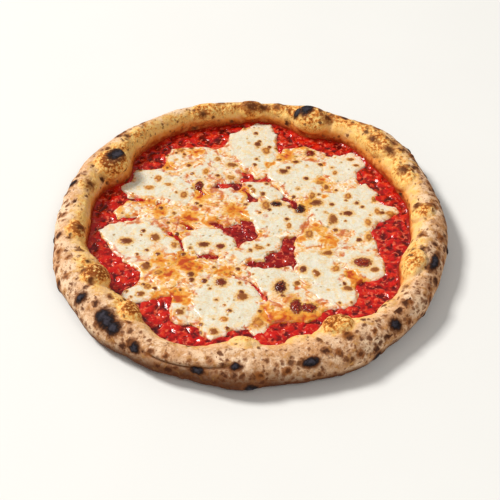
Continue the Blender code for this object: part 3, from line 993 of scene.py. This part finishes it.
# Where the cheese ran thin and turned from white to cream: x, y and half width.
THIN = [
    (-75, -24, 17), (-58, -40, 16), (-88, -42, 10), (-76, -56, 8), (-46, 14, 12),
    (-76, 34, 15), (-44, 36, 16), (-22, 30, 12), (-46, 96, 13), (-60, 84, 8),
    (36, 2, 8), (62, -6, 12), (86, -10, 9), (18, -80, 10), (44, -84, 12),
    (60, 62, 8), (42, 100, 12), (28, 92, 7), (76, -48, 10), (-24, -30, 12),
    (-30, 50, 9), (8, 24, 6), (46, 46, 7), (-54, -62, 9), (-14, 78, 9),
]
# Where the oil of the cheese has drawn tomato colour: x, y and half width.
OILY = [
    (-14, 30, 9), (-5, 24, 6), (-60, -1, 8), (76, -43, 7), (84, -52, 7), (-56, -66, 8),
    (-49, -73, 5), (8, -79, 6), (13, -89, 5), (46, -86, 8), (15, 84, 6), (-70, 84, 7),
    (-20, -41, 7), (40, 112, 6), (47, 37, 6), (-50, 20, 9), (-73, 27, 8), (60, 44, 5),
    (-44, -36, 10), (-64, -44, 8), (62, -6, 9), (-30, 14, 6), (58, 66, 6), (30, 97, 6),
    (-104, 28, 5), (40, -6, 5), (-72, -66, 5), (26, -90, 8), (-40, 46, 8), (-46, 100, 6),
    (-4, 52, 6), (52, 8, 6), (-86, 40, 6), (30, -86, 8), (-54, -26, 8), (-70, -30, 7),
]


# %% Fields of the cheese
def blister_field(x, y, flat):
    """Two fields: 1 at the middle of the nearest blister, falling to 0 at its rim and
    below 0 outside, and that blister's darkness. Noise makes each one uneven."""
    best = np.full(x.shape, -3.0)
    dark = np.zeros(x.shape)
    warp_x = x + 0.7 * swirl(flat, 4.0, 61)
    warp_y = y + 0.7 * swirl(flat, 4.0, 62)
    for bx, by, width, darkness in BLISTERS:
        width = 0.88 * width
        stretch = 1.0 + 0.22 * math.sin(bx * 1.7 + by)
        away = np.hypot((warp_x - bx) / (width * stretch), (warp_y - by) * stretch / width)
        near_it = 1.0 - away
        dark = np.where(near_it > best, darkness, dark)
        best = np.maximum(best, near_it)
    away, own_number = seeds(flat + [0.0, 0.0, 3.0], SMALL_BLISTER_STEP, 67)
    width = 0.9 + 2.4 * (own_number - SMALL_BLISTER_FROM)
    small = 1.0 - away * SMALL_BLISTER_STEP / width
    small = np.where(own_number > SMALL_BLISTER_FROM, small, -3.0)
    dark = np.where(small > best, 0.30 + 0.35 * own_number, dark)
    return np.maximum(best, small), dark


def bells(x, y, places):
    """The sum of bell curves round the places, capped at 1."""
    total = np.zeros(x.shape)
    for middle_x, middle_y, width in places:
        total = total + np.exp(-((x - middle_x) ** 2 + (y - middle_y) ** 2) / width**2)
    return np.minimum(total, 1.0)


def cheese_relief(x, y, flat):
    """Height of the melted surface over its level: swells of 14 and 6 mm, small
    strands, and a dome with a sunken middle for each blister."""
    blister, dark = blister_field(x, y, flat)
    dome = round_top(1.0 - np.minimum(blister, 1.0))
    dent = ease(blister, 0.35, 0.9) * (1.0 - dark)
    strand = 1.0 - np.abs(swirl(flat * [1.0, 1.5, 1.0], 6.0, 66))
    rise = 0.40 * swirl(flat, 14.0, 63) + 0.20 * swirl(flat, 6.0, 64) + 0.22 * strand
    return rise + dome * (0.35 + 0.75 * dark) - 0.35 * dent, blister, dark


def paint_cheese(piece, x, y, milk, blister, dark, pad):
    """Numbers for the finish: how milky, how oily, and the blisters."""
    milk = milk * (1.0 - 0.62 * bells(x, y, THIN))
    for name, values in (
        ("milk", milk), ("oil", bells(x, y, OILY)), ("blister", blister), ("burn", dark)
    ):
        paint(piece, name, np.pad(values, pad, mode="edge"))


# %% [markdown]
# ## Melted film
# Between the pools the cheese has run thin, and oil tinted by the tomato shows
# through it. The film is one sheet over the whole pizza, which dives under the tomato
# wherever the field says the tomato is bare.

# %% Build the film
FILM_TOP = 7.5
FILM_SUNK = 4.9
_, x, y = disc(660, 128, lambda t: along(inner_at, t) - 1.5, 0.92)
field = cover(x, y)
flat = flat_places(x, y)
relief_here, blister, dark = cheese_relief(x, y, flat)
shown = ease(field, -1.0, 1.2)
height = FILM_SUNK + (FILM_TOP - FILM_SUNK) * shown + relief_here * shown
film = sheet("melted_film", x, y, height, bed + 0.25)
paint_cheese(film, x, y, 0.42 * ease(field, 0.0, 4.0), blister, dark, ((0, 2), (0, 0)))

# %% [markdown]
# ## Pools of mozzarella
# Each pool is a grid of rings drawn in from its measured edge to its middle. Its
# thickness rises from the edge as one less an exponential, the way a thick liquid
# stands on a plate, and two skirt rings take the edge down into the film.

# %% Build the pools
POOL_STEP = 0.95   # millimetres between points along an edge
RING_STEP = 0.85   # and between the rings inside it
POOL_LEVEL = 7.15
SKIRT_OUT = [0.0, 0.5, 1.4]
SKIRT_DOWN = [0.0, -0.7, -1.9]
# How white each pool stayed; the rest are fully white.
CREAMY = {"02": 0.62, "05": 0.45, "06": 0.7, "09": 0.5, "16": 0.75, "17": 0.42, "24": 0.75,
          "25": 0.42, "04": 0.6, "15": 0.9, "13": 0.85}


def build_pool(node, middle, edge):
    """A pool from the curve through its edge points: a wave sum for x and y, moved in
    and out by noise, then shrunk towards the middle ring by ring."""
    length = np.hypot(*(np.roll(edge, -1, axis=0) - edge).T).sum()
    columns = max(48, int(length / POOL_STEP))
    t = np.linspace(0.0, math.tau, columns, endpoint=False)
    curve = np.stack([along(edge[:, 0], t), along(edge[:, 1], t)], -1)
    spoke = curve - middle[:2]
    reach = np.hypot(spoke[:, 0], spoke[:, 1])
    flat_edge = flat_places(curve[:, 0], curve[:, 1])
    wobble = 2.7 - 4.8 * np.abs(swirl(flat_edge, 11.0, 71))
    wobble = wobble - np.abs(swirl(flat_edge, 4.0, 72))
    reach_now = np.maximum(reach + wobble, 2.0)
    rows = max(10, int(reach_now.mean() / RING_STEP))
    depth = np.concatenate([[0.0, 0.25, 0.6], np.linspace(1.1, 3.2, 4)])
    share = 1.0 - depth[None, :] / reach_now[:, None]
    inner = np.linspace(1.0, 0.0, rows)[None, :] * share[:, -1:]
    share = np.concatenate([share[:, :-1], inner], axis=1).T
    share = np.maximum(share, 0.0)
    rim_out = 1.0 + np.array(SKIRT_OUT[:0:-1])[:, None] / reach_now[None, :]
    share = np.concatenate([rim_out, share])[::-1]
    unit = spoke / reach[:, None]
    x = middle[0] + share * (reach_now * unit[:, 0])
    y = middle[1] + share * (reach_now * unit[:, 1])
    inward = (1.0 - share) * reach_now[None, :]
    flat = flat_places(x, y)
    relief_here, blister, dark = cheese_relief(x, y, flat)
    thick = 0.75 + 0.30 * min(1.0, reach.mean() / 22.0)
    body = thick * (1.0 - np.exp(-np.maximum(inward, 0.0) / 2.2))
    lip = 0.12 * np.exp(-((inward - 1.6) ** 2) / 1.4)
    skirt = np.interp(-inward, SKIRT_OUT, SKIRT_DOWN)
    height = POOL_LEVEL + body + lip + skirt + relief_here * ease(inward, 0.0, 2.0)
    top = np.stack([x, y, height], -1)
    under = top[-1:].copy()
    under[..., :2] = middle[:2]
    under[..., 2] = POOL_LEVEL + SKIRT_DOWN[-1]
    piece = closed_skin(node + "_melted", np.concatenate([top, under]))
    milk = CREAMY.get(node[-2:], 1.0) * (0.45 + 0.55 * ease(inward, 0.0, 6.0))
    paint_cheese(piece, x, y, milk, blister, dark, ((0, 1), (0, 0)))
    return piece


pool_pieces = [build_pool(n, middle, edge) for n, (middle, edge) in zip(POOL_NODES, pools)]

# %% [markdown]
# ## Finish of the cheese
# Melted mozzarella is white and dull where it lies thick, and creamy and glossy where
# it ran thin. The milky share of each piece picks between the two. Over that lie the
# tinted oil, small tan dots and the blisters, each with a golden halo, a brown body and
# a middle by how far it burnt. Light goes a little way in, so the finish has some
# subsurface scattering.

# %% Noises and masks of the cheese
c = Finish("mozzarella")  # c for cheese
patch = c.noise(10.0, 3.0, 0.55, 0.5)
curd = c.noise(5.0, 1.5, 0.5, 0.3)
strands_and_sheen = c.noise(5.2, 2.0, 0.5, 1.3)
speck = c.noise(1.7, 1.0, 0.5)
crease = c.stretch(c.veins(7.0, 3.0, 0.6, 0.8), 0.085, 0.0)
seam = c.stretch(c.veins(15.0, 1.0, 0.5, 0.7), 0.07, 0.015)
seam = c.times(seam, c.stretch(patch, 0.60, 0.46))
milk = c.painted("milk")
oily = c.frayed(c.painted("oil"), curd, 2.2)
oily = c.sum("SUBTRACT", oily, c.times(milk, 0.5))
dots = c.marks(5.0, 0.013, 2.0, 0.5, 0.08, 0.16, (speck, 0.2), (-0.12, 0.12))
halo = c.frayed(c.painted("blister"), speck, 0.9)
burn = c.painted("burn")
pale_core = c.times(c.stretch(halo, 0.35, 0.75, 0.0, 0.75), c.stretch(burn, 0.52, 0.44))
dark_core = c.times(c.stretch(halo, 0.15, 0.7, 0.0, 0.8), c.stretch(burn, 0.46, 0.54))
burnt = c.times(c.stretch(halo, -0.1, 0.35), c.stretch(burn, 0.58, 0.85))

# %% Cheese finish
thin = c.mix(c.stretch(strands_and_sheen, 0.36, 0.56), look(240, 184, 112), look(253, 232, 194))
thin = c.layers(
    thin,
    (curd, 0.47, 0.35, 0.85, (222, 128, 42)),
    (speck, 0.60, 0.78, 0.4, (190, 120, 50)),
    (strands_and_sheen, 0.54, 0.64, 0.9, (254, 243, 224)),
    (c.times(crease, 0.35), (214, 124, 40)),
    (c.times(seam, 0.8), (196, 84, 26)),
)
white = c.mix(c.stretch(curd, 0.53, 0.70, 0.0, 0.6), look(232, 226, 205), look(240, 208, 148))
white = c.layers(
    white,
    (speck, 0.60, 0.76, 0.5, (204, 174, 104)),
    # Painted sheen: pale streaks over the white cheese.
    (strands_and_sheen, 0.60, 0.74, 0.6, (245, 242, 230)),
    (c.times(crease, 0.25), (214, 170, 90)),
)
tone = c.mix(c.stretch(c.frayed(milk, patch, 2.2), 0.28, 0.72), thin, white)
tone = c.layers(
    tone,
    (oily, 0.1, 0.5, 0.85, (240, 180, 70)),
    (oily, 0.35, 0.7, 0.9, (224, 128, 26)),
    (oily, 0.68, 1.05, 0.85, (182, 46, 8)),
    (c.times(dots, 0.8), (164, 120, 44)),
    (halo, -1.0, 0.1, 0.85, (232, 172, 70)),
)
browned = c.mix(c.stretch(burn, 0.3, 0.65), look(182, 106, 38), look(116, 38, 10))
tone = c.mix(c.stretch(halo, -0.28, 0.26, 0.0, 0.92), tone, browned)
tone = c.layers(tone, (pale_core, (218, 150, 58)), (dark_core, (106, 46, 14)))
charred = c.mix(c.stretch(burn, 0.84, 1.0), look(132, 18, 8), look(44, 6, 4))
charred = c.layers(
    charred,
    (speck, 0.56, 0.70, 0.8, (186, 82, 34)),
    (speck, 0.46, 0.30, 0.8, (40, 5, 3)),
)
tone = c.mix(burnt, tone, charred)
melt = c.relief(patch, 0.6)
melt = c.relief(curd, 0.22, melt)
melt = c.relief(speck, 0.05, melt)
melt = c.relief(c.times(speck, burnt), 1.1, melt)
dullness = c.sum("SUBTRACT", c.stretch(curd, 0.3, 0.7, 0.22, 0.36), c.times(burnt, 0.17))
cheese = c.done(tone, dullness, melt)
c.shader.inputs["Subsurface Weight"].default_value = 0.18
c.shader.inputs["Subsurface Radius"].default_value = (1.0, 0.7, 0.4)
c.shader.inputs["Subsurface Scale"].default_value = 0.002
finish_piece(film, "mozzarella", cheese)
for piece, node in zip(pool_pieces, POOL_NODES):
    finish_piece(piece, "mozzarella", cheese, node)

# %% [markdown]
# ## Table, light and camera
# A pale table, a large soft light high at the back left, a weaker one at the front
# right, and a pale surround. The camera looks down at about 45 degrees from the front.

# %% Table
table_mesh = bpy.data.meshes.new("table")
side = 3.0  # half the width of the table, in metres
corners = [(-side, -side, 0), (side, -side, 0), (side, side, 0), (-side, side, 0)]
table_mesh.from_pydata(corners, [], [(0, 1, 2, 3)])
table = put_in_scene("table", table_mesh)
table_look = Finish("pale_table")
cloudy = table_look.noise(90.0, 2.0, 0.5)
table_tone = table_look.mix(cloudy, look(237, 236, 232), look(240, 239, 235))
table_mesh.materials.append(
    table_look.done(table_tone, 0.7, table_look.relief(cloudy, 0.02))
)

# %% Light
def add_light(name, place, size, power, colour):
    """A square soft light that faces the middle of the table."""
    data = bpy.data.lights.new(name, "AREA")
    data.shape = "SQUARE"
    data.size = size
    data.energy = power
    data.color = colour
    made = put_in_scene(name, data)
    made.location = place
    made.rotation_euler = made.location.to_track_quat("Z", "Y").to_euler()


add_light("key", (-3.2, 1.5, 4.0), 1.3, 272.0, (1.0, 0.985, 0.96))
add_light("fill", (0.9, -1.8, 2.4), 1.4, 20.0, (1.0, 0.98, 0.96))
surround = bpy.data.worlds.new("surround")
surround.use_nodes = True
glow = surround.node_tree.nodes["Background"].inputs
glow["Color"].default_value = (1.0, 0.985, 0.965, 1.0)
glow["Strength"].default_value = 0.29
bpy.context.scene.world = surround
bpy.context.scene.view_settings.view_transform = "Standard"

# %% Camera
AIM = (-0.00077, -0.01059, 0.0015)  # the place in metres that the middle of the view shows
TILT = math.radians(44.6)
DISTANCE = 0.946
lens = bpy.data.cameras.new("camera")
lens.lens = 86.4
lens.sensor_width = 36.0
camera = put_in_scene("camera", lens)
camera.location = (
    AIM[0], AIM[1] - DISTANCE * math.cos(TILT), AIM[2] + DISTANCE * math.sin(TILT)
)
camera.rotation_euler = (math.pi / 2.0 - TILT, 0.0, 0.0)
bpy.context.scene.camera = camera
